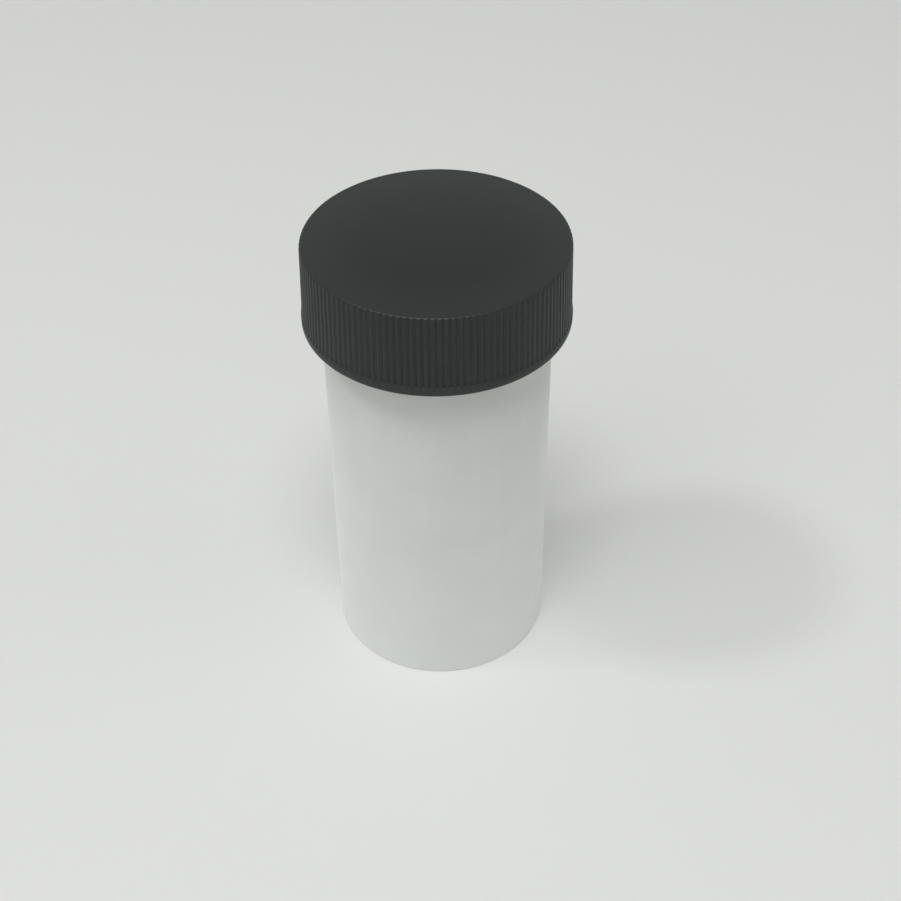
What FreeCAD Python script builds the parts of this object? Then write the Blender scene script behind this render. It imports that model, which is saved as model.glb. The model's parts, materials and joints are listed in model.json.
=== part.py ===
import FreeCAD, Part
import math
import os

# Wide-mouth reagent bottle: a straight-walled moulded bottle with a screw thread round its mouth,
# a ribbed screw cap, and the laminated liner that the cap presses on the bottle's lip.
# Millimetres, +Z up. The origin is the centre of the ring that the bottle stands on.

# Bottle, driving sizes
overall_height = 73.0
body_diameter = 34.2
body_wall = 1.3
floor_thickness = 1.5
heel_radius = 0.4
floor_fillet = 2.5
foot_ring_width = 2.4
push_up_height = 0.8
push_up_flare = 1.2
gate_mark_diameter = 2.6
gate_mark_height = 0.3
neck_inset = 0.3
neck_reveal = 0.5
lip_round = 0.35

# Screw thread, driving sizes: the lead is six threads to the inch
thread_lead = 4.23
thread_depth = 1.2
thread_crest_width = 1.0
thread_flank_slope = 0.5
thread_fade_turns = 0.12
thread_start_turns = 0.25
neck_thread_top = 2.0
neck_thread_bottom = 2.7
cap_thread_top = 2.3
cap_thread_bottom = 1.7
thread_crest_clearance = 0.2
thread_root_clearance = 0.3
thread_flank_clearance = 0.2

# Cap, driving sizes
cap_height = 13.0
cap_top_thickness = 1.5
skirt_wall = 1.38
skirt_draft_degrees = 1.5
cap_edge_radius = 0.5
rib_count = 128
rib_depth = 0.25
rim_band_height = 1.6
rim_band_stand = 0.08
rim_edge_radius = 0.4
mouth_chamfer = 0.4
bead_height = 0.7
bead_drop = 0.25
bead_overlap = 0.5

# Liner, driving sizes
liner_foam_thickness = 0.8
liner_facing_thickness = 0.2
liner_clearance = 0.3

# Construction sizes: how far one feature reaches into another before they are joined
JOIN = 0.4
RIB_JOIN = 0.3
SECTIONS_PER_TURN = 24

# Sizes that follow from the driving ones
body_radius = body_diameter / 2
bore_radius = body_radius - body_wall
neck_radius = body_radius - neck_inset
floor_height = push_up_height + floor_thickness
liner_thickness = liner_foam_thickness + liner_facing_thickness
cap_ceiling = overall_height - cap_top_thickness
lip_height = cap_ceiling - liner_thickness
cap_bottom = overall_height - cap_height
thread_crest_radius = neck_radius + thread_depth
cap_bore_radius = thread_crest_radius + thread_crest_clearance
cap_thread_crest_radius = neck_radius + thread_root_clearance
cap_top_radius = cap_bore_radius + skirt_wall
skirt_draft = math.tan(math.radians(skirt_draft_degrees))
liner_radius = cap_bore_radius - liner_clearance
bead_radius = liner_radius - bead_overlap


def point(radius, height):
    """A point of a half section, in the XZ plane."""
    return FreeCAD.Vector(radius, 0, height)


def polar(radius, turns, height):
    """A point at a number of turns about the axis."""
    angle = 2 * math.pi * turns
    return FreeCAD.Vector(radius * math.cos(angle), radius * math.sin(angle), height)


def line(start, end):
    return Part.LineSegment(start, end).toShape()


def corner_arc(start, corner, end):
    """A quarter round that leaves start and reaches end, both on the sides of a square corner."""
    centre = start + end - corner
    middle = centre + (corner - centre) * (1 / math.sqrt(2))
    return Part.Arc(start, middle, end).toShape()


def revolved(edges):
    """The solid made by turning a closed half section about the axis."""
    face = Part.Face(Part.Wire(edges))
    return face.revolve(FreeCAD.Vector(0, 0, 0), FreeCAD.Vector(0, 0, 1), 360)


def revolved_polygon(points):
    return revolved([line(a, b) for a, b in zip(points, points[1:] + points[:1])])


def cap_wall_radius(height):
    """Outside radius of the cap's skirt, over the ribs: the skirt widens towards its open end."""
    return cap_top_radius + (overall_height - height) * skirt_draft


def fade(turns, first, last):
    """From 0 at the two ends of a thread to 1 along its length."""
    share = min(1.0, (turns - first) / thread_fade_turns, (last - turns) / thread_fade_turns)
    return share * share * (3 - 2 * share)


def thread_ridge(base_radius, outward, depth, first, last, height_at):
    """One unbroken thread ridge on a round wall, fading into the wall at both ends.

    outward is 1 for a thread on the outside of a wall and -1 for one inside a bore.
    height_at gives the height of the ridge's centre line at a number of turns.
    """
    steps = math.ceil((last - first) * SECTIONS_PER_TURN)
    sections = []
    for step in range(steps + 1):
        turns = first + (last - first) * step / steps
        height = height_at(turns)
        reach = depth * fade(turns, first, last) - JOIN / 2 * (1 - fade(turns, first, last))
        crest = base_radius + outward * reach
        foot = base_radius - outward * JOIN
        crest_half = thread_crest_width / 2 + (depth - reach) * thread_flank_slope
        foot_half = thread_crest_width / 2 + (depth + JOIN) * thread_flank_slope
        corners = [
            polar(foot, turns, height - foot_half),
            polar(crest, turns, height - crest_half),
            polar(crest, turns, height + crest_half),
            polar(foot, turns, height + foot_half),
        ]
        sections.append(Part.makePolygon(corners + corners[:1]))
    return Part.makeLoft(sections, True, False)


def neck_thread_height(turns):
    """Centre line of the bottle's thread, a right-hand helix that ends just under the lip."""
    return cap_bottom + neck_thread_bottom + thread_lead * (turns - thread_start_turns)


def cap_thread_height(turns):
    """Centre line of the cap's thread: it follows the bottle's, one flank clearance below it."""
    flank_overlap = (thread_crest_radius - cap_thread_crest_radius) * thread_flank_slope
    return neck_thread_height(turns) - thread_crest_width - flank_overlap - thread_flank_clearance


def turns_at(height, height_at):
    """The number of turns at which a thread's centre line passes a height."""
    return thread_start_turns + (height - height_at(thread_start_turns)) / thread_lead


def bottle_shell():
    """The bottle without its thread: standing ring, raised base panel, wall, slightly slimmer neck and lip."""
    gate_radius = gate_mark_diameter / 2
    foot_outer = body_radius - heel_radius
    foot_inner = foot_outer - foot_ring_width
    panel_radius = foot_inner - push_up_flare
    gate_under = push_up_height - gate_mark_height
    neck_foot = cap_bottom - neck_reveal
    wall_foot = point(body_radius, heel_radius)
    wall_top = point(body_radius, neck_foot - neck_inset)
    neck_bottom = point(neck_radius, neck_foot)
    neck_top = point(neck_radius, lip_height - lip_round)
    lip_outer = point(neck_radius - lip_round, lip_height)
    lip_inner = point(bore_radius + lip_round, lip_height)
    bore_top = point(bore_radius, lip_height - lip_round)
    bore_foot = point(bore_radius, floor_height + floor_fillet)
    floor_edge = point(bore_radius - floor_fillet, floor_height)
    edges = [
        line(point(0, gate_under), point(gate_radius, gate_under)),
        line(point(gate_radius, gate_under), point(gate_radius, push_up_height)),
        line(point(gate_radius, push_up_height), point(panel_radius, push_up_height)),
        line(point(panel_radius, push_up_height), point(foot_inner, 0)),
        line(point(foot_inner, 0), point(foot_outer, 0)),
        corner_arc(point(foot_outer, 0), point(body_radius, 0), wall_foot),
        line(wall_foot, wall_top),
        line(wall_top, neck_bottom),
        line(neck_bottom, neck_top),
        corner_arc(neck_top, point(neck_radius, lip_height), lip_outer),
        line(lip_outer, lip_inner),
        corner_arc(lip_inner, point(bore_radius, lip_height), bore_top),
        line(bore_top, bore_foot),
        corner_arc(bore_foot, point(bore_radius, floor_height), floor_edge),
        line(floor_edge, point(0, floor_height)),
        line(point(0, floor_height), point(0, gate_under)),
    ]
    return revolved(edges)


def bottle_body():
    last = turns_at(lip_height - neck_thread_top, neck_thread_height)
    ridge = thread_ridge(neck_radius, 1, thread_depth, thread_start_turns, last, neck_thread_height)
    return bottle_shell().fuse(ridge)


def ribbed_outline(height):
    """The skirt's outline at one height: a ring of half-round ribs that meet in sharp valleys."""
    crest = cap_wall_radius(height)
    valley = crest - rib_depth
    arcs = []
    for rib in range(rib_count):
        start = polar(valley, rib / rib_count, height)
        middle = polar(crest, (rib + 0.5) / rib_count, height)
        end = polar(valley, (rib + 1) / rib_count, height)
        arcs.append(Part.Arc(start, middle, end).toShape())
    return Part.Wire(arcs)


def ribbed_block(band_top):
    """A solid block with the ribbed skirt's outside, its upper edge rounded."""
    foot = band_top - RIB_JOIN
    ribs = Part.makeLoft([ribbed_outline(foot), ribbed_outline(overall_height)], True, True)
    below = foot - JOIN
    side_top = overall_height - cap_edge_radius
    side = cap_wall_radius(side_top)
    top_edge = side - cap_edge_radius
    envelope = revolved([
        line(point(0, below), point(cap_wall_radius(below) + rib_depth, below)),
        line(point(cap_wall_radius(below) + rib_depth, below), point(side, side_top)),
        corner_arc(point(side, side_top), point(side, overall_height), point(top_edge, overall_height)),
        line(point(top_edge, overall_height), point(0, overall_height)),
        line(point(0, overall_height), point(0, below)),
    ])
    return ribs.common(envelope)


def rim_band(band_top):
    """The plain band under the ribs, round at its lower edge and sloped where the ribs run into it."""
    outside = cap_wall_radius(cap_bottom) + rim_band_stand
    slope_foot = band_top - RIB_JOIN
    slope_top = cap_wall_radius(band_top) - rib_depth
    rim_edge = outside - rim_edge_radius
    return revolved([
        line(point(0, cap_bottom), point(rim_edge, cap_bottom)),
        corner_arc(
            point(rim_edge, cap_bottom),
            point(outside, cap_bottom),
            point(outside, cap_bottom + rim_edge_radius),
        ),
        line(point(outside, cap_bottom + rim_edge_radius), point(outside, slope_foot)),
        line(point(outside, slope_foot), point(slope_top, band_top)),
        line(point(slope_top, band_top), point(0, band_top)),
        line(point(0, band_top), point(0, cap_bottom)),
    ])


def cap_hollow():
    """The space inside the cap, with a bevelled mouth and the bead that keeps the liner in."""
    bead_top = lip_height - bead_drop
    bead_foot = bead_top - bead_height
    bead_reach = cap_bore_radius - bead_radius
    return revolved_polygon([
        point(0, cap_bottom - JOIN),
        point(cap_bore_radius + mouth_chamfer + JOIN, cap_bottom - JOIN),
        point(cap_bore_radius, cap_bottom + mouth_chamfer),
        point(cap_bore_radius, bead_foot - bead_reach),
        point(bead_radius, bead_foot),
        point(bead_radius, bead_top),
        point(cap_bore_radius, bead_top),
        point(cap_bore_radius, cap_ceiling),
        point(0, cap_ceiling),
    ])


def screw_cap():
    band_top = cap_bottom + rim_band_height
    block = ribbed_block(band_top).fuse(rim_band(band_top))
    shell = block.cut(cap_hollow())
    first = turns_at(cap_bottom + cap_thread_bottom, cap_thread_height)
    last = turns_at(lip_height - cap_thread_top, cap_thread_height)
    depth = cap_bore_radius - cap_thread_crest_radius
    ridge = thread_ridge(cap_bore_radius, -1, depth, first, last, cap_thread_height)
    return shell.fuse(ridge)


def liner_disc(bottom, thickness):
    return Part.makeCylinder(liner_radius, thickness, FreeCAD.Vector(0, 0, bottom))


def checked(name, shape):
    """The one solid of a finished piece."""
    shape = shape.removeSplitter()
    assert shape.isValid(), name + " isn't a valid solid"
    assert len(shape.Solids) == 1, name + " isn't one piece"
    return shape.Solids[0]


def main():
    pieces = {
        "bottle_body": bottle_body(),
        "screw_cap": screw_cap(),
        "liner_facing": liner_disc(lip_height, liner_facing_thickness),
        "liner_foam": liner_disc(lip_height + liner_facing_thickness, liner_foam_thickness),
    }
    os.makedirs("parts", exist_ok=True)
    for name, shape in pieces.items():
        solid = checked(name, shape)
        solid.exportStep("parts/" + name + ".step")
        print(name, "volume", round(solid.Volume, 1), "mm3")


main()
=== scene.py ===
import json
import math
import bpy
from mathutils import Matrix, Vector


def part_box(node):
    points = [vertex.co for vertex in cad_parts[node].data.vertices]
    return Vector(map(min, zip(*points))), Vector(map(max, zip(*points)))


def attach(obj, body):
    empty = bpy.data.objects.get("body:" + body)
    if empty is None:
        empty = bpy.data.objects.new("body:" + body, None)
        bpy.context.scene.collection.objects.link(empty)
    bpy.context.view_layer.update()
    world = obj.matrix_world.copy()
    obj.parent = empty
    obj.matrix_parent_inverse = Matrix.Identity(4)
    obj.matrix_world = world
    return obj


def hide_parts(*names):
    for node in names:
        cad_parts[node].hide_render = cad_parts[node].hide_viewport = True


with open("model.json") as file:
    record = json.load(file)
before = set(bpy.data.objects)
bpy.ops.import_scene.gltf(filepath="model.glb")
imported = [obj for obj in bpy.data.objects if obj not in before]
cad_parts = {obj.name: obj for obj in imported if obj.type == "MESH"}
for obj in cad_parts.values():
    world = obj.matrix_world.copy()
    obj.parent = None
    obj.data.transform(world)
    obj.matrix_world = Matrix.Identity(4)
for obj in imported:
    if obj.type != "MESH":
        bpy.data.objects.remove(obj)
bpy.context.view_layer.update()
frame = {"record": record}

# Reagent bottle: a milky plastic bottle with a screw thread round its mouth, a black ribbed screw cap and the
# two-ply liner in the cap. Everything is round about the Z axis. Metres.
MM = 0.001
TURN = 2 * math.pi

# Sizes taken from the frame
mounts = {mount["name"]: mount for mount in frame["record"]["mounts"]}
BODY_RADIUS = mounts["body_grip"]["dims"]["r_mm"] * MM
LIP_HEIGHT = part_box("bottle_body")[1].z
CAP_FOOT, CAP_TOP = (corner.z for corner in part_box("screw_cap"))
RIM_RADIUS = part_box("screw_cap")[1].x
LINER_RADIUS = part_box("liner_foam")[1].x
FOAM_FOOT, LINER_TOP = (corner.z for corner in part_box("liner_foam"))

# Bottle
BODY_WALL = 1.3 * MM
HEEL_RADIUS = 0.4 * MM
FOOT_RING = 2.4 * MM
PUSH_UP = 0.8 * MM
PUSH_UP_FLARE = 1.2 * MM
GATE_RADIUS = 1.3 * MM
GATE_HEIGHT = 0.3 * MM
FLOOR_HEIGHT = 2.3 * MM
FLOOR_FILLET = 2.5 * MM
NECK_INSET = 0.3 * MM
NECK_REVEAL = 0.5 * MM
LIP_ROUND = 0.35 * MM
SEAM_WIDTH = 0.22 * MM
SEAM_HEIGHT = 0.035 * MM
CORNER_ROUND = 0.12 * MM
BORE_RADIUS = BODY_RADIUS - BODY_WALL
NECK_RADIUS = BODY_RADIUS - NECK_INSET
NECK_FOOT = CAP_FOOT - NECK_REVEAL

# Screw thread
THREAD_LEAD = 4.23 * MM
THREAD_DEPTH = 1.2 * MM
THREAD_CREST = 1.0 * MM
THREAD_FLANK = 0.6 * MM
THREAD_FADE = 0.12
THREAD_START = 0.25
NECK_THREAD_FOOT = 2.7 * MM
NECK_THREAD_TOP = 2.0 * MM
CAP_THREAD_DROP = 1.65 * MM
CAP_THREAD_FOOT = 1.7 * MM
CAP_THREAD_TOP = 2.3 * MM
CAP_THREAD_DEPTH = 1.1 * MM
NECK_RING_STEP = 0.16 * MM
CAP_RING_STEP = 0.32 * MM

# Cap
CAP_BORE = 18.2 * MM
CAP_TOP_RADIUS = 19.58 * MM
CAP_DRAFT = math.tan(math.radians(1.5))
CAP_EDGE = 0.5 * MM
RIB_COUNT = 128
RIB_DEPTH = 0.25 * MM
BAND_TOP = CAP_FOOT + 1.6 * MM
BAND_SLOPE = 0.3 * MM
RIM_EDGE = 0.4 * MM
MOUTH_BEVEL = 0.4 * MM
BEAD_RADIUS = 17.4 * MM
BEAD_TOP = LIP_HEIGHT - 0.25 * MM
BEAD_FOOT = BEAD_TOP - 0.7 * MM
POINTS_PER_RIB = 6

# Liner
LINER_EDGE = 0.08 * MM
IMPRINT_DEPTH = 0.05 * MM

# Meshes
LATHE_STEPS = 256
MERGE_GAP = 0.001 * MM
AXIS_CLEAR = 1 * MM
BEVEL_STEPS = 2


def smooth(share):
    """An eased step from 0 to 1."""
    share = min(1.0, max(0.0, share))
    return share * share * (3 - 2 * share)


def arc(radius, height, size, start, end, count=6):
    """Points of a half section round a centre, from one angle to another, in degrees."""
    angles = [math.radians(start + (end - start) * i / count) for i in range(count + 1)]
    return [(radius + size * math.cos(a), height + size * math.sin(a)) for a in angles]


def rings(radius, bottom, top, step):
    """Points up a straight wall, close enough together to carry a thread."""
    count = math.ceil((top - bottom) / step)
    return [(radius, bottom + (top - bottom) * i / count) for i in range(count + 1)]


def lathe(name, section, steps):
    """A solid of revolution.

    A point is extruded along the half section, the line is spun an eighth of a turn, and the eighth is
    doubled three times.
    """
    bpy.ops.object.select_all(action="DESELECT")
    bpy.ops.mesh.primitive_plane_add(size=MM)
    piece = bpy.context.object
    piece.name = name
    bpy.ops.object.mode_set(mode="EDIT")
    bpy.ops.mesh.select_all(action="SELECT")
    bpy.ops.mesh.merge(type="CENTER")
    bpy.ops.transform.translate(value=(section[0][0], 0, section[0][1]))
    for start, end in zip(section, section[1:]):
        move = (end[0] - start[0], 0, end[1] - start[1])
        bpy.ops.mesh.extrude_vertices_move(TRANSFORM_OT_translate={"value": move})
    bpy.ops.mesh.select_all(action="SELECT")
    bpy.ops.mesh.spin(steps=steps // 8, angle=TURN / 8, center=(0, 0, 0), axis=(0, 0, 1))
    for angle in (TURN / 8, TURN / 4, TURN / 2):
        bpy.ops.mesh.select_all(action="SELECT")
        bpy.ops.mesh.duplicate()
        bpy.ops.transform.rotate(value=angle, orient_axis="Z", center_override=(0, 0, 0))
    bpy.ops.mesh.select_all(action="SELECT")
    bpy.ops.mesh.remove_doubles(threshold=MERGE_GAP)
    bpy.ops.mesh.normals_make_consistent(inside=False)
    bpy.ops.object.mode_set(mode="OBJECT")
    return piece


def reshape(piece, radius_at):
    """Moves each point of a turned piece that is clear of the axis to radius_at(radius, angle, height)."""
    for point in piece.data.vertices:
        radius = math.hypot(point.co.x, point.co.y)
        if radius > AXIS_CLEAR:
            angle = math.atan2(point.co.y, point.co.x) % TURN
            share = radius_at(radius, angle, point.co.z) / radius
            point.co.x *= share
            point.co.y *= share


def shade(piece, degrees):
    """Smooth shading, with edges sharper than the angle left crisp."""
    bpy.ops.object.select_all(action="DESELECT")
    piece.select_set(True)
    bpy.context.view_layer.objects.active = piece
    bpy.ops.object.shade_smooth_by_angle(angle=math.radians(degrees))


def thread_rise(angle, height, first, last, centre_at):
    """How far a thread stands out of its wall at one place, from 0 to 1."""
    rise = 0.0
    for lap in range(math.ceil(last) + 1):
        turns = angle / TURN + lap
        if first < turns < last:
            off_crest = abs(height - centre_at(turns)) - THREAD_CREST / 2
            flank = smooth(1 - off_crest / THREAD_FLANK)
            ends = smooth(min(turns - first, last - turns) / THREAD_FADE)
            rise = max(rise, flank * ends)
    return rise


def neck_thread_centre(turns):
    """Height of the neck's thread after so many turns."""
    return CAP_FOOT + NECK_THREAD_FOOT + THREAD_LEAD * (turns - THREAD_START)


def cap_thread_centre(turns):
    """Height of the cap's thread, which runs just under the neck's."""
    return neck_thread_centre(turns) - CAP_THREAD_DROP


def turns_at(height, centre_at):
    """How many turns bring a thread up to a height."""
    return THREAD_START + (height - centre_at(THREAD_START)) / THREAD_LEAD


def bottle_section():
    """From the middle of the underside, round the wall, over the lip and down to the middle of the floor."""
    foot_outer = BODY_RADIUS - HEEL_RADIUS
    foot_inner = foot_outer - FOOT_RING
    lip_foot = LIP_HEIGHT - LIP_ROUND
    section = [
        (0, PUSH_UP - GATE_HEIGHT),
        (GATE_RADIUS, PUSH_UP - GATE_HEIGHT),
        (GATE_RADIUS, PUSH_UP),
        (foot_inner - PUSH_UP_FLARE, PUSH_UP),
        (foot_inner, 0),
    ]
    section += arc(foot_outer, HEEL_RADIUS, HEEL_RADIUS, -90, 0)
    section += [(BODY_RADIUS, NECK_FOOT - NECK_INSET)]
    section += rings(NECK_RADIUS, NECK_FOOT, lip_foot, NECK_RING_STEP)
    section += arc(NECK_RADIUS - LIP_ROUND, lip_foot, LIP_ROUND, 0, 90)[1:]
    section += arc(BORE_RADIUS + LIP_ROUND, lip_foot, LIP_ROUND, 90, 180)
    section += arc(BORE_RADIUS - FLOOR_FILLET, FLOOR_HEIGHT + FLOOR_FILLET, FLOOR_FILLET, 0, -90)
    return section + [(0, FLOOR_HEIGHT)]


def mould_seam(piece):
    """Cuts a narrow strip down both sides of the bottle, to stand out as the mould's parting line."""
    bpy.context.view_layer.objects.active = piece
    bpy.ops.object.mode_set(mode="EDIT")
    for side in (-1, 1):
        bpy.ops.mesh.select_all(action="SELECT")
        bpy.ops.mesh.bisect(plane_co=(0, side * SEAM_WIDTH / 2, 0), plane_no=(0, 1, 0))
    bpy.ops.object.mode_set(mode="OBJECT")


def soften(piece, width, degrees):
    """Rounds off the sharp corners of a moulding."""
    bevel = piece.modifiers.new("rounded corners", "BEVEL")
    bevel.width = width
    bevel.segments = BEVEL_STEPS
    bevel.limit_method = "ANGLE"
    bevel.angle_limit = math.radians(degrees)
    bpy.context.view_layer.objects.active = piece
    bpy.ops.object.modifier_apply(modifier=bevel.name)


def bottle():
    """The bottle with its seam and the thread on its neck."""
    piece = lathe("bottle", bottle_section(), LATHE_STEPS)
    soften(piece, CORNER_ROUND, degrees=35)
    mould_seam(piece)
    last = turns_at(LIP_HEIGHT - NECK_THREAD_TOP, neck_thread_centre)

    def radius_at(radius, angle, height):
        if radius > NECK_RADIUS - LIP_ROUND / 2 and height > NECK_FOOT + NECK_INSET:
            return radius + THREAD_DEPTH * thread_rise(angle, height, THREAD_START, last, neck_thread_centre)
        on_seam = abs(math.sin(angle)) * radius < SEAM_WIDTH / 4
        if on_seam and radius > BODY_RADIUS - HEEL_RADIUS / 2 and height < NECK_FOOT - NECK_INSET:
            return radius + SEAM_HEIGHT * smooth(height / HEEL_RADIUS)
        return radius

    reshape(piece, radius_at)
    shade(piece, degrees=40)
    return piece


def skirt_radius(height):
    """Outside of the cap's skirt over the ribs: it widens towards its foot."""
    return CAP_TOP_RADIUS + (CAP_TOP - height) * CAP_DRAFT


def cap_section():
    """From the middle of the top, down the skirt, round the rim and up inside to the middle again."""
    side_top = CAP_TOP - CAP_EDGE
    section = [(0, CAP_TOP)]
    section += arc(skirt_radius(side_top) - CAP_EDGE, side_top, CAP_EDGE, 90, 0)
    section += [(skirt_radius(h), h) for h in (BAND_TOP + BAND_SLOPE, BAND_TOP)]
    section += [(RIM_RADIUS, BAND_TOP - BAND_SLOPE)]
    section += arc(RIM_RADIUS - RIM_EDGE, CAP_FOOT + RIM_EDGE, RIM_EDGE, 0, -90)
    section += [(CAP_BORE + MOUTH_BEVEL, CAP_FOOT)]
    section += rings(CAP_BORE, CAP_FOOT + MOUTH_BEVEL, BEAD_FOOT + BEAD_RADIUS - CAP_BORE, CAP_RING_STEP)
    section += [(BEAD_RADIUS, BEAD_FOOT), (BEAD_RADIUS, BEAD_TOP), (CAP_BORE, BEAD_TOP)]
    return section + [(CAP_BORE, LINER_TOP), (0, LINER_TOP)]


def cap():
    """The cap with its ribs and its inner thread."""
    piece = lathe("cap", cap_section(), RIB_COUNT * POINTS_PER_RIB)
    first = turns_at(CAP_FOOT + CAP_THREAD_FOOT, cap_thread_centre)
    last = turns_at(LIP_HEIGHT - CAP_THREAD_TOP, cap_thread_centre)

    def radius_at(radius, angle, height):
        if radius > skirt_radius(height) - CAP_EDGE - RIB_DEPTH and height > BAND_TOP - BAND_SLOPE / 2:
            across = (angle / TURN * RIB_COUNT) % 1
            rib = skirt_radius(height) - RIB_DEPTH * (1 - 4 * across * (1 - across))
            return min(radius, rib)
        if abs(radius - CAP_BORE) < MOUTH_BEVEL / 2 and CAP_FOOT < height < BEAD_FOOT:
            return radius - CAP_THREAD_DEPTH * thread_rise(angle, height, first, last, cap_thread_centre)
        return radius

    reshape(piece, radius_at)
    shade(piece, degrees=35)
    return piece


def disc_section(bottom, top, underside=()):
    """A liner ply with slightly rounded edges, from the middle of its top to the middle of its underside."""
    edge = LINER_RADIUS - LINER_EDGE
    section = [(0, top)]
    section += arc(edge, top - LINER_EDGE, LINER_EDGE, 90, 0, count=3)
    section += arc(edge, bottom + LINER_EDGE, LINER_EDGE, 0, -90, count=3)
    return section + list(underside) + [(0, bottom)]


def liner_foam():
    """The foam is a plain disc."""
    piece = lathe("liner_foam_ply", disc_section(FOAM_FOOT, LINER_TOP), LATHE_STEPS)
    shade(piece, degrees=40)
    return piece


def liner_facing():
    """The facing carries the ring that the bottle's lip has pressed into it."""
    imprint = [
        (NECK_RADIUS + LIP_ROUND, LIP_HEIGHT),
        (NECK_RADIUS - LIP_ROUND, LIP_HEIGHT + IMPRINT_DEPTH),
        (BORE_RADIUS + LIP_ROUND, LIP_HEIGHT + IMPRINT_DEPTH),
        (BORE_RADIUS - LIP_ROUND, LIP_HEIGHT),
    ]
    piece = lathe("liner_facing_ply", disc_section(LIP_HEIGHT, FOAM_FOOT, imprint), LATHE_STEPS)
    shade(piece, degrees=60)
    return piece


def shader_node(tree, kind, inputs=None, **settings):
    """Adds a shader node; each of its inputs gets a number, a colour or another node's output."""
    made = tree.nodes.new("ShaderNode" + kind)
    for name, value in settings.items():
        setattr(made, name, value)
    for name, value in (inputs or {}).items():
        if isinstance(value, bpy.types.NodeSocket):
            tree.links.new(value, made.inputs[name])
        else:
            made.inputs[name].default_value = value
    return made


def calc(tree, operation, *values):
    """One step of arithmetic."""
    return shader_node(tree, "Math", dict(enumerate(values)), operation=operation).outputs[0]


def remap(tree, value, low, high, out_low=0.0, out_high=1.0):
    """Eases a value from one range into another."""
    sockets = {"Value": value, "From Min": low, "From Max": high, "To Min": out_low, "To Max": out_high}
    return shader_node(tree, "MapRange", sockets, interpolation_type="SMOOTHSTEP").outputs[0]


def drift(tree, field, low=0.0, high=1.0, reach=0.2):
    """Spreads a noise field, which keeps within its reach of a half, over a range of values."""
    return remap(tree, field, 0.5 - reach, 0.5 + reach, low, high)


def mix_colour(tree, share, first, second):
    """Goes from the first colour to the second by a share."""
    return shader_node(tree, "Mix", {0: share, 6: first, 7: second}, data_type="RGBA").outputs[2]


def noise(tree, position, scale, detail=2.0):
    """A cloudy noise field."""
    return shader_node(tree, "TexNoise", {"Vector": position, "Scale": scale, "Detail": detail}).outputs[0]


def new_group(name, inputs, outputs):
    """An empty node group: gives the group, the sockets it is handed and the sockets it hands back."""
    group = bpy.data.node_groups.new(name, "ShaderNodeTree")
    for socket, kind in inputs.items():
        group.interface.new_socket(socket, in_out="INPUT", socket_type="NodeSocket" + kind)
    for socket in outputs:
        group.interface.new_socket(socket, in_out="OUTPUT", socket_type="NodeSocketFloat")
    return group, group.nodes.new("NodeGroupInput").outputs, group.nodes.new("NodeGroupOutput").inputs


def round_place_group():
    """Where a point lies: its distance from the axis, its turn about it from -0.5 to 0.5, and its height."""
    group, given, result = new_group("round place", {"Position": "Vector"}, ("Radius", "Turn", "Height"))
    x, y, z = shader_node(group, "SeparateXYZ", {0: given["Position"]}).outputs
    squares = calc(group, "ADD", calc(group, "MULTIPLY", x, x), calc(group, "MULTIPLY", y, y))
    group.links.new(calc(group, "SQRT", squares), result["Radius"])
    group.links.new(calc(group, "DIVIDE", calc(group, "ARCTAN2", y, x), TURN), result["Turn"])
    group.links.new(z, result["Height"])
    return group


MOTTLE_DETAIL = 3.0
FLOW_FINENESS = 3.0
FLOW_STRETCH = (1.0, 1.0, 0.06)


def moulded_skin_group():
    """The skin of a moulding: cloudy mottle, fine grain, and the streaks that the melt leaves as it rises."""
    sizes = {"Position": "Vector", "Mottle Size": "Float", "Grain Size": "Float"}
    group, given, result = new_group("moulded skin", sizes, ("Mottle", "Grain", "Flow"))
    position = given["Position"]
    mottle_scale = calc(group, "DIVIDE", 1.0, given["Mottle Size"])
    grain_scale = calc(group, "DIVIDE", 1.0, given["Grain Size"])
    flow_scale = calc(group, "MULTIPLY", mottle_scale, FLOW_FINENESS)
    stretch = {0: position, 1: FLOW_STRETCH}
    drawn_out = shader_node(group, "VectorMath", stretch, operation="MULTIPLY").outputs[0]
    group.links.new(noise(group, position, mottle_scale, MOTTLE_DETAIL), result["Mottle"])
    group.links.new(noise(group, position, grain_scale), result["Grain"])
    group.links.new(noise(group, drawn_out, flow_scale), result["Flow"])
    return group


SCUFF_WIDTH = 0.014
SCUFF_PATCH_FINENESS = 0.6
SCUFF_PATCH_EDGE, SCUFF_PATCH_HEART = 0.5, 0.68


def scuffs_group():
    """Fine stray scratches, gathered in patches."""
    group, given, result = new_group("scuffs", {"Position": "Vector", "Length": "Float"}, ("Scuffs",))
    scale = calc(group, "DIVIDE", 1.0, given["Length"])
    field = noise(group, given["Position"], scale, detail=1.0)
    off_line = calc(group, "ABSOLUTE", calc(group, "SUBTRACT", field, 0.5))
    lines = remap(group, off_line, 0.0, SCUFF_WIDTH, 1.0, 0.0)
    patch_field = noise(group, given["Position"], calc(group, "MULTIPLY", scale, SCUFF_PATCH_FINENESS))
    patches = remap(group, patch_field, SCUFF_PATCH_EDGE, SCUFF_PATCH_HEART)
    group.links.new(calc(group, "MULTIPLY", lines, patches), result["Scuffs"])
    return group


SPECK_SMALLEST, SPECK_LARGEST = 0.03, 0.11
SPECK_SOFT_EDGE = 0.6
SPECK_EMPTY_CELLS = 0.55


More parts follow.
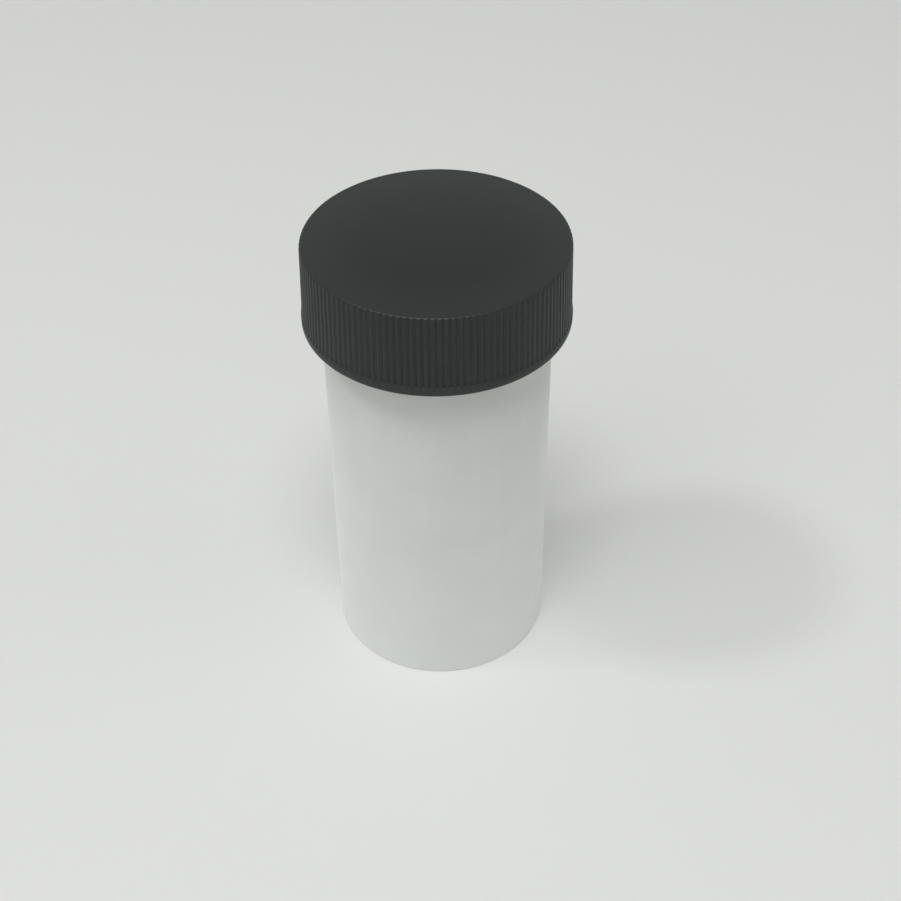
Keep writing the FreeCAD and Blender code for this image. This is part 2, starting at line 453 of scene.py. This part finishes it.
def specks_group():
    """Dust specks, a few of the cells of a scattered pattern."""
    group, given, result = new_group("specks", {"Position": "Vector", "Spacing": "Float"}, ("Specks",))
    scale = calc(group, "DIVIDE", 1.0, given["Spacing"])
    cells = shader_node(group, "TexVoronoi", {"Vector": given["Position"], "Scale": scale}).outputs
    chance = shader_node(group, "SeparateColor", {0: cells["Color"]}).outputs
    size = remap(group, chance[1], 0.0, 1.0, SPECK_SMALLEST, SPECK_LARGEST)
    spot = remap(group, calc(group, "DIVIDE", cells["Distance"], size), SPECK_SOFT_EDGE, 1.0, 1.0, 0.0)
    chosen = calc(group, "GREATER_THAN", chance[0], SPECK_EMPTY_CELLS)
    group.links.new(calc(group, "MULTIPLY", spot, chosen), result["Specks"])
    return group


round_place = round_place_group()
moulded_skin = moulded_skin_group()
scuffs = scuffs_group()
specks = specks_group()


def new_material(name, roughness):
    """A material with its node tree, its shader and the position on the piece."""
    material = bpy.data.materials.new(name)
    material.use_nodes = True
    tree = material.node_tree
    shader = tree.nodes["Principled BSDF"]
    shader.inputs["Roughness"].default_value = roughness
    position = shader_node(tree, "TexCoord").outputs["Object"]
    return material, tree, shader, position


def placed(tree, group, position, **values):
    """Puts a shared group into a material; gives its outputs."""
    sockets = {name.replace("_", " "): value for name, value in values.items()}
    made = shader_node(tree, "Group", node_tree=group)
    tree.links.new(position, made.inputs["Position"])
    for name, value in sockets.items():
        made.inputs[name].default_value = value
    return made.outputs


def emboss(tree, shader, height, distance):
    """Gives a surface a relief of this depth."""
    relief = shader_node(tree, "Bump", {"Height": height, "Distance": distance, "Strength": 1.0})
    tree.links.new(relief.outputs[0], shader.inputs["Normal"])


# Colours are linear. A share says how far a colour goes towards the next.
MILK_FOOT = (0.732, 0.756, 0.736, 1)
# Painted shade: the wall is painted darker from the foot up to the shoulder, standing for the cap's shade in
# the milky wall
MILK_SHOULDER_PAINTED_SHADE = (0.634, 0.657, 0.64, 1)
# Painted light: the wall just under the cap is painted paler, easing the cap's shade
MILK_UNDER_CAP_PAINTED_LIGHT = (0.742, 0.766, 0.749, 1)
MILK_STREAK = (0.78, 0.802, 0.782, 1)
MILK_SCUFF = (0.62, 0.62, 0.59, 1)
MILK_PAINTED_SHADE_HEIGHT = CAP_FOOT - 8 * MM
MILK_PAINTED_LIGHT_HEIGHTS = CAP_FOOT - 7 * MM, CAP_FOOT - 1 * MM
MILK_OUTSIDE = BORE_RADIUS + 0.3 * MM, NECK_RADIUS - 0.1 * MM
MILK_SCUFF_HEIGHTS = 0.2 * MM, 7 * MM
MILK_SCUFF_ABOVE = 0.15
MILK_CLOUD = 0.09
MILK_ROUGHNESS = 0.42, 0.52
MILK_STREAK_NOISE = 0.45, 0.75
MILK_STREAK_SHARE = 0.1
MILK_SCUFF_SHARE = 0.55
MILK_SCUFF_ROUGHNESS = 0.2
MILK_SCUFF_RELIEF = 0.6
MILK_FLOW_RELIEF = 0.9
MILK_RELIEF = 0.008 * MM


def milky_plastic():
    """Milky polyethylene: light sinks in, its cloudiness drifts, and the foot is scuffed.

    The wall greys from the foot to the shoulder, painted shade, and is paler again just under the cap,
    painted light.
    """
    material, tree, shader, position = new_material("milky plastic", 0.46)
    place = placed(tree, round_place, position)
    skin = placed(tree, moulded_skin, position, Mottle_Size=7 * MM, Grain_Size=0.45 * MM)
    scratches = placed(tree, scuffs, position, Length=5 * MM)["Scuffs"]
    outside = remap(tree, place["Radius"], *MILK_OUTSIDE)
    low = remap(tree, place["Height"], *MILK_SCUFF_HEIGHTS, 1.0, MILK_SCUFF_ABOVE)
    rubbed = calc(tree, "MULTIPLY", scratches, calc(tree, "MULTIPLY", outside, low))
    cloud = drift(tree, skin["Mottle"], -MILK_CLOUD, MILK_CLOUD)
    # Painted shade from the foot to the shoulder, with the plastic's own cloudiness added
    painted_shade_and_cloud = calc(tree, "ADD", remap(tree, place["Height"], 0.0, MILK_PAINTED_SHADE_HEIGHT), cloud)
    colour = mix_colour(tree, painted_shade_and_cloud, MILK_FOOT, MILK_SHOULDER_PAINTED_SHADE)
    # Painted light just under the cap
    colour = mix_colour(tree, remap(tree, place["Height"], *MILK_PAINTED_LIGHT_HEIGHTS), colour, MILK_UNDER_CAP_PAINTED_LIGHT)
    streaks = calc(tree, "MULTIPLY", remap(tree, skin["Flow"], *MILK_STREAK_NOISE), MILK_STREAK_SHARE)
    colour = mix_colour(tree, streaks, colour, MILK_STREAK)
    colour = mix_colour(tree, calc(tree, "MULTIPLY", rubbed, MILK_SCUFF_SHARE), colour, MILK_SCUFF)
    tree.links.new(colour, shader.inputs["Base Color"])
    gloss = drift(tree, skin["Mottle"], *MILK_ROUGHNESS, reach=0.25)
    roughness = calc(tree, "ADD", gloss, calc(tree, "MULTIPLY", rubbed, MILK_SCUFF_ROUGHNESS))
    tree.links.new(roughness, shader.inputs["Roughness"])
    ripple = calc(tree, "ADD", skin["Grain"], calc(tree, "MULTIPLY", skin["Flow"], MILK_FLOW_RELIEF))
    relief = calc(tree, "SUBTRACT", ripple, calc(tree, "MULTIPLY", rubbed, MILK_SCUFF_RELIEF))
    emboss(tree, shader, relief, MILK_RELIEF)
    shader.inputs["Sheen Weight"].default_value = 0.45
    shader.inputs["Sheen Roughness"].default_value = 0.5
    shader.inputs["Subsurface Weight"].default_value = 0.8
    shader.inputs["Subsurface Radius"].default_value = (1.0, 1.0, 0.95)
    shader.inputs["Subsurface Scale"].default_value = 2 * MM
    return material


BLACK_DARK = (0.0123, 0.0137, 0.0137, 1)
BLACK_PALE = (0.0134, 0.0148, 0.0146, 1)
# Dust in the rib valleys, partly painted light that lifts the valleys' shade
BLACK_DUST_AND_FILL = (0.068, 0.071, 0.07, 1)
# Painted light: the band at the foot is painted paler
BLACK_BAND_PAINTED_LIGHT = (0.02, 0.0215, 0.021, 1)
# Painted glare: the top is painted paler towards its edge
BLACK_TOP_PAINTED_GLARE = (0.0195, 0.0209, 0.0205, 1)
BLACK_SCUFF = (0.02, 0.021, 0.0205, 1)
DUST = (0.05, 0.05, 0.048, 1)
BLACK_OUTSIDE = CAP_BORE + 0.5 * MM, CAP_BORE + 0.8 * MM
BLACK_BELOW_EDGE = CAP_TOP - 0.2 * MM, CAP_TOP - CAP_EDGE
BLACK_ON_TOP = CAP_TOP - 0.1 * MM, CAP_TOP - 0.02 * MM
TOP_PAINTED_GLARE_RING = 9 * MM, CAP_TOP_RADIUS
BLACK_ROUGHNESS = 0.46, 0.5
BAND_PAINTED_LIGHT_SPREAD = 0.6, 1.0
RIB_CREST = 0.75, 1.0
RIB_VALLEY = 0.55, 0.0
VALLEY_DUST_AND_FILL_NOISE = 0.35, 0.75
VALLEY_DUST_AND_FILL = 0.4, 0.9
BLACK_SCUFF_SHARE = 0.35
BLACK_SCUFF_RELIEF = 0.5
DUST_SHARE = 0.4
POLISH = 0.03
DUST_ROUGHNESS = 0.2
BLACK_RELIEF = 0.006 * MM


def black_plastic():
    """Satin black polypropylene: a fine grain, ribs that fingers have polished, and dust between them, with
    painted light that eases the shade in the rib valleys.

    The top is paler towards its edge, a painted glare, and carries scuffs and specks of dust. The band
    at the foot is paler, painted light.
    """
    material, tree, shader, position = new_material("black plastic", 0.48)
    place = placed(tree, round_place, position)
    skin = placed(tree, moulded_skin, position, Mottle_Size=9 * MM, Grain_Size=0.3 * MM)
    scratches = placed(tree, scuffs, position, Length=6 * MM)["Scuffs"]
    dust = placed(tree, specks, position, Spacing=1.6 * MM)["Specks"]
    outside = remap(tree, place["Radius"], *BLACK_OUTSIDE)
    below_edge = remap(tree, place["Height"], *BLACK_BELOW_EDGE)
    above_band = remap(tree, place["Height"], BAND_TOP, BAND_TOP + BAND_SLOPE)
    skirt = calc(tree, "MULTIPLY", outside, calc(tree, "MULTIPLY", below_edge, above_band))
    across = calc(tree, "FRACT", calc(tree, "MULTIPLY", place["Turn"], float(RIB_COUNT)))
    crest = calc(tree, "MULTIPLY", calc(tree, "MULTIPLY", across, calc(tree, "SUBTRACT", 1.0, across)), 4.0)
    polished = calc(tree, "MULTIPLY", skirt, remap(tree, crest, *RIB_CREST))
    valley = calc(tree, "MULTIPLY", skirt, remap(tree, crest, *RIB_VALLEY))
    on_top = remap(tree, place["Height"], *BLACK_ON_TOP)
    on_band = calc(tree, "MULTIPLY", outside, remap(tree, place["Height"], BAND_TOP, BAND_TOP - BAND_SLOPE))
    colour = mix_colour(tree, drift(tree, skin["Mottle"]), BLACK_DARK, BLACK_PALE)
    # Valley dust, partly painted light over the valleys' shade
    valley_dust_and_fill = calc(tree, "MULTIPLY", valley, remap(tree, skin["Mottle"], *VALLEY_DUST_AND_FILL_NOISE, *VALLEY_DUST_AND_FILL))
    colour = mix_colour(tree, valley_dust_and_fill, colour, BLACK_DUST_AND_FILL)
    # Painted light on the band at the foot
    band_painted_light = calc(tree, "MULTIPLY", on_band, drift(tree, skin["Mottle"], *BAND_PAINTED_LIGHT_SPREAD))
    colour = mix_colour(tree, band_painted_light, colour, BLACK_BAND_PAINTED_LIGHT)
    # Painted glare, paler towards the top's edge
    top_painted_glare = calc(tree, "MULTIPLY", on_top, remap(tree, place["Radius"], *TOP_PAINTED_GLARE_RING))
    colour = mix_colour(tree, top_painted_glare, colour, BLACK_TOP_PAINTED_GLARE)
    rubbed = calc(tree, "MULTIPLY", scratches, on_top)
    colour = mix_colour(tree, calc(tree, "MULTIPLY", rubbed, BLACK_SCUFF_SHARE), colour, BLACK_SCUFF)
    settled = calc(tree, "MULTIPLY", calc(tree, "MULTIPLY", dust, on_top), DUST_SHARE)
    colour = mix_colour(tree, settled, colour, DUST)
    tree.links.new(colour, shader.inputs["Base Color"])
    gloss = drift(tree, skin["Mottle"], *BLACK_ROUGHNESS, reach=0.25)
    gloss = calc(tree, "SUBTRACT", gloss, calc(tree, "MULTIPLY", polished, POLISH))
    gloss = calc(tree, "ADD", gloss, calc(tree, "MULTIPLY", valley_dust_and_fill, DUST_ROUGHNESS))
    tree.links.new(gloss, shader.inputs["Roughness"])
    relief = calc(tree, "SUBTRACT", skin["Grain"], calc(tree, "MULTIPLY", rubbed, BLACK_SCUFF_RELIEF))
    emboss(tree, shader, relief, BLACK_RELIEF)
    shader.inputs["Specular IOR Level"].default_value = 0.43
    shader.inputs["Specular Tint"].default_value = (0.92, 1.0, 1.0, 1)
    return material


FOAM_GREY = (0.83, 0.82, 0.78, 1)
FOAM_WHITE = (0.87, 0.86, 0.82, 1)
FOAM_PORE = (0.62, 0.61, 0.57, 1)
FOAM_PORE_REACH = 0.15, 0.6
FOAM_PORE_SHARE = 0.4
FOAM_CELL = 0.24 * MM
FOAM_ROUGHNESS = 0.78, 0.92
FOAM_RELIEF = 0.06 * MM


def white_foam():
    """Closed-cell foam, cut from sheet."""
    material, tree, shader, position = new_material("white foam", 0.85)
    skin = placed(tree, moulded_skin, position, Mottle_Size=3 * MM, Grain_Size=0.12 * MM)
    cells = shader_node(tree, "TexVoronoi", {"Vector": position, "Scale": 1 / FOAM_CELL}).outputs["Distance"]
    pores = remap(tree, cells, *FOAM_PORE_REACH, 1.0, 0.0)
    colour = mix_colour(tree, drift(tree, skin["Mottle"]), FOAM_GREY, FOAM_WHITE)
    colour = mix_colour(tree, calc(tree, "MULTIPLY", pores, FOAM_PORE_SHARE), colour, FOAM_PORE)
    tree.links.new(colour, shader.inputs["Base Color"])
    tree.links.new(drift(tree, skin["Grain"], *FOAM_ROUGHNESS), shader.inputs["Roughness"])
    emboss(tree, shader, cells, FOAM_RELIEF)
    return material


FILM_GREY = (0.86, 0.86, 0.845, 1)
FILM_WHITE = (0.89, 0.89, 0.88, 1)
FILM_PRESSED = (0.78, 0.78, 0.765, 1)
FILM_SCUFF = (0.72, 0.72, 0.70, 1)
FILM_PRESSED_REACH = 0.3 * MM, 0.75 * MM
FILM_PRESSED_SHARE = 0.5
FILM_PRESSED_GLOSS = 0.1
FILM_SCUFF_SHARE = 0.3
FILM_ROUGHNESS = 0.32, 0.42
FILM_RELIEF = 0.004 * MM
LIP_MIDDLE = (BORE_RADIUS + NECK_RADIUS) / 2


def facing_film():
    """A smooth white film, glossier and greyer in the ring where the bottle's lip has pressed it."""
    material, tree, shader, position = new_material("facing film", 0.36)
    place = placed(tree, round_place, position)
    skin = placed(tree, moulded_skin, position, Mottle_Size=4 * MM, Grain_Size=0.35 * MM)
    scratches = placed(tree, scuffs, position, Length=7 * MM)["Scuffs"]
    off_lip = calc(tree, "ABSOLUTE", calc(tree, "SUBTRACT", place["Radius"], LIP_MIDDLE))
    pressed = remap(tree, off_lip, *FILM_PRESSED_REACH, 1.0, 0.0)
    colour = mix_colour(tree, drift(tree, skin["Mottle"]), FILM_GREY, FILM_WHITE)
    colour = mix_colour(tree, calc(tree, "MULTIPLY", pressed, FILM_PRESSED_SHARE), colour, FILM_PRESSED)
    colour = mix_colour(tree, calc(tree, "MULTIPLY", scratches, FILM_SCUFF_SHARE), colour, FILM_SCUFF)
    tree.links.new(colour, shader.inputs["Base Color"])
    gloss = drift(tree, skin["Mottle"], *FILM_ROUGHNESS)
    roughness = calc(tree, "SUBTRACT", gloss, calc(tree, "MULTIPLY", pressed, FILM_PRESSED_GLOSS))
    tree.links.new(roughness, shader.inputs["Roughness"])
    emboss(tree, shader, skin["Grain"], FILM_RELIEF)
    return material


def dress(piece, material, body, node):
    """Gives a finished piece its material and puts it in place of its CAD node."""
    piece.data.materials.clear()
    piece.data.materials.append(material)
    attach(piece, body)
    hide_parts(node)


FLOOR_RADIUS = 0.65
FLOOR_SIDES = 128
FLOOR_COLOUR = (0.735, 0.745, 0.73, 1)
FLOOR_ROUGHNESS = 0.8


def floor():
    """A round, plain, pale table top."""
    bpy.ops.object.select_all(action="DESELECT")
    bpy.ops.mesh.primitive_circle_add(vertices=FLOOR_SIDES, radius=FLOOR_RADIUS, fill_type="NGON")
    disc = bpy.context.object
    disc.name = "floor"
    material, _, shader, _ = new_material("pale floor", FLOOR_ROUGHNESS)
    shader.inputs["Base Color"].default_value = FLOOR_COLOUR
    disc.data.materials.append(material)


# Each lamp's compass angle, height angle and width in degrees, and the share of a white floor's brightness
# that it gives
LAMPS = {
    "ceiling panel": (268, 70, 23, 0.342),
    "left lamp": (187, 58, 7, 0.12),
    "left window": (227, 56, 36, 0.125),
    "right wall": (350, 40, 35, 0.034),
}
LAMP_DISTANCE = 1.2
THROUGH_BOTTLE = 0.5


def panel_lamp(name, azimuth, elevation, spread, level, stopped_by=None):
    """A round soft light that points at the bottle's foot.

    stopped_by is the collection that casts its shadow. Without one, everything does.
    """
    lamp = bpy.data.lights.new(name, "AREA")
    lamp.shape = "DISK"
    lamp.size = 2 * LAMP_DISTANCE * math.tan(math.radians(spread / 2))
    tilt = math.radians(elevation)
    turn = math.radians(azimuth)
    lamp.energy = level * (math.pi * LAMP_DISTANCE) ** 2 / math.sin(tilt)
    holder = bpy.data.objects.new(name, lamp)
    bpy.context.scene.collection.objects.link(holder)
    aim = Vector((math.cos(tilt) * math.cos(turn), math.cos(tilt) * math.sin(turn), math.sin(tilt)))
    stand = Matrix.Translation(aim * LAMP_DISTANCE)
    holder.matrix_world = stand @ aim.to_track_quat("Z", "Y").to_matrix().to_4x4()
    if stopped_by:
        holder.light_linking.blocker_collection = stopped_by


def studio_lamps(dark_piece):
    """The lamps, a share of whose light comes through the milky bottle and is stopped by the cap alone."""
    opaque = bpy.data.collections.new("opaque pieces")
    opaque.objects.link(dark_piece)
    for name, (azimuth, elevation, spread, level) in LAMPS.items():
        panel_lamp(name, azimuth, elevation, spread, level * (1 - THROUGH_BOTTLE))
        panel_lamp(name + " through the bottle", azimuth, elevation, spread, level * THROUGH_BOTTLE, opaque)


ROOM_LEVEL = 0.366
ROOM_COLOUR = (1.0, 1.0, 0.995, 1)
HORIZON_LEVEL = 0.74
ZENITH_LEVEL = 0.3
BACKDROP_FADE = 0.15, 0.75


def room():
    """Even light from all round. What the camera and reflections see of the room darkens upwards."""
    world = bpy.data.worlds.new("room")
    bpy.context.scene.world = world
    world.use_nodes = True
    tree = world.node_tree
    rays = shader_node(tree, "LightPath").outputs
    mirrored = calc(tree, "MAXIMUM", rays["Is Glossy Ray"], rays["Is Transmission Ray"])
    seen = calc(tree, "MAXIMUM", rays["Is Camera Ray"], mirrored)
    up = shader_node(tree, "SeparateXYZ", {0: shader_node(tree, "TexCoord").outputs["Generated"]}).outputs[2]
    backdrop = remap(tree, up, *BACKDROP_FADE, HORIZON_LEVEL, ZENITH_LEVEL)
    fill = calc(tree, "MULTIPLY", calc(tree, "SUBTRACT", 1.0, seen), ROOM_LEVEL)
    level = calc(tree, "MULTIPLY_ADD", seen, backdrop, fill)
    tree.links.new(level, tree.nodes["Background"].inputs["Strength"])
    tree.nodes["Background"].inputs["Color"].default_value = ROOM_COLOUR


# Camera: the photograph's place and angle
CAMERA_PLACE = Vector((1.783, -190.916, 196.805)) * MM
CAMERA_PITCH = math.radians(40.587)
CAMERA_ROLL = math.radians(-0.564)
CAMERA_LENS = 63.256
CAMERA_NEAR = 10 * MM


def camera():
    """The camera, looking down at the bottle."""
    data = bpy.data.cameras.new("camera")
    data.lens = CAMERA_LENS
    data.clip_start = CAMERA_NEAR
    holder = bpy.data.objects.new("camera", data)
    bpy.context.scene.collection.objects.link(holder)
    look = Matrix.Rotation(math.pi / 2 - CAMERA_PITCH, 4, "X") @ Matrix.Rotation(CAMERA_ROLL, 4, "Z")
    holder.matrix_world = Matrix.Translation(CAMERA_PLACE) @ look
    bpy.context.scene.camera = holder


dress(bottle(), milky_plastic(), "bottle", "bottle_body")
lid = cap()
dress(lid, black_plastic(), "cap", "screw_cap")
dress(liner_foam(), white_foam(), "liner", "liner_foam")
dress(liner_facing(), facing_film(), "liner", "liner_facing")
floor()
studio_lamps(lid)
room()
camera()
bpy.context.scene.view_settings.view_transform = "Standard"
